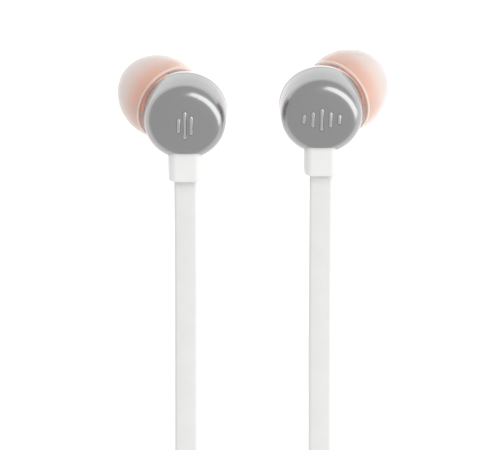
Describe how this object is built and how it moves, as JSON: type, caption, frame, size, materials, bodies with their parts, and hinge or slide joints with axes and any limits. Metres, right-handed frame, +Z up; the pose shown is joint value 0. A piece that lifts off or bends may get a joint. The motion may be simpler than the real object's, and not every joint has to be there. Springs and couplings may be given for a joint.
{
  "type": "neckband earphones",
  "caption": "In-ear neckband earphones with metallic buds, angled soft tips, flat leads, a control pod, a battery pod and a flat neck cable wound in a coil.",
  "frame": {"origin": "on the resting surface, under the middle of the box around the buds and pods", "axes": "+Z up from the resting surface, +Y along the leads towards the buds, +X towards the control pod"},
  "size_m": [0.0434, 0.2179, 0.0181],
  "materials": {
    "silver_paint": "glossy silver-grey metallic paint",
    "white_shell": "gloss warm white",
    "white_rubber": "matt warm white",
    "grey_rubber": "matt grey",
    "tip_silicone": "translucent milky silicone",
    "tip_core": "soft orange",
    "steel": "bright",
    "magnet": "plated",
    "copper": "lacquered copper wire",
    "film": "thin film",
    "board": "green solder mask",
    "dark_plastic": "black moulded",
    "clear_plastic": "clear moulded",
    "cell_wrap": "pouch foil",
    "foam": "foam pad"
  },
  "bodies": {
    "headset": {"left_back_cap": "silver_paint", "left_front_shell": "white_shell", "left_nozzle_mesh": "steel", "left_collar": "white_rubber", "left_driver_cover": "steel", "left_driver_frame": "steel", "left_driver_yoke": "steel", "left_driver_magnet": "magnet", "left_driver_top_plate": "steel", "left_voice_coil": "copper", "left_diaphragm": "film", "left_driver_board": "board", "right_back_cap": "silver_paint", "right_front_shell": "white_shell", "right_nozzle_mesh": "steel", "right_collar": "white_rubber", "right_driver_cover": "steel", "right_driver_frame": "steel", "right_driver_yoke": "steel", "right_driver_magnet": "magnet", "right_driver_top_plate": "steel", "right_voice_coil": "copper", "right_diaphragm": "film", "right_driver_board": "board", "control_base": "white_shell", "control_top": "white_shell", "control_board": "board", "control_boots": "white_rubber", "switch_bodies": "dark_plastic", "radio_chip": "dark_plastic", "microphone": "dark_plastic", "status_led": "clear_plastic", "light_pipe": "clear_plastic", "socket_shell": "steel", "socket_tongue": "dark_plastic", "battery_base": "white_shell", "battery_top": "white_shell", "battery_boots": "white_rubber", "cell": "cell_wrap", "cell_board": "board", "cell_pad": "foam", "left_lead": "white_rubber", "right_lead": "white_rubber", "neck_cable_left": "white_rubber", "neck_cable_right": "white_rubber", "neck_coil": "white_rubber", "coil_tie": "grey_rubber"},
    "left_ear_tip": {"left_tip_skirt": "tip_silicone", "left_tip_core": "tip_core"},
    "right_ear_tip": {"right_tip_skirt": "tip_silicone", "right_tip_core": "tip_core"},
    "plus_button": {"plus_key": "grey_rubber", "plus_stem": "dark_plastic"},
    "play_button": {"play_key": "grey_rubber", "play_stem": "dark_plastic"},
    "minus_button": {"minus_key": "grey_rubber", "minus_stem": "dark_plastic"},
    "port_flap": {"port_cover": "white_rubber"}
  },
  "joints": [
    {"name": "left_tip_pull", "type": "slide", "parent": "headset", "child": "left_ear_tip", "axis": [-0.6111, 0.4524, -0.6496], "range_m": [0, 0.008]},
    {"name": "right_tip_pull", "type": "slide", "parent": "headset", "child": "right_ear_tip", "axis": [0.6111, 0.4524, -0.6496], "range_m": [0, 0.008]},
    {"name": "plus_press", "type": "slide", "parent": "headset", "child": "plus_button", "axis": [0, 0, -1], "range_m": [0, 0.0003], "stiffness_N_per_m": 300, "springref_m": -0.002},
    {"name": "play_press", "type": "slide", "parent": "headset", "child": "play_button", "axis": [0, 0, -1], "range_m": [0, 0.0003], "stiffness_N_per_m": 300, "springref_m": -0.002},
    {"name": "minus_press", "type": "slide", "parent": "headset", "child": "minus_button", "axis": [0, 0, -1], "range_m": [0, 0.0003], "stiffness_N_per_m": 300, "springref_m": -0.002},
    {"name": "port_cover_hinge", "type": "hinge", "parent": "headset", "child": "port_flap", "pos_m": [0.015, -0.06058, 0.0041], "axis": [0, 0, 1], "range_deg": [0, 100]}
  ]
}
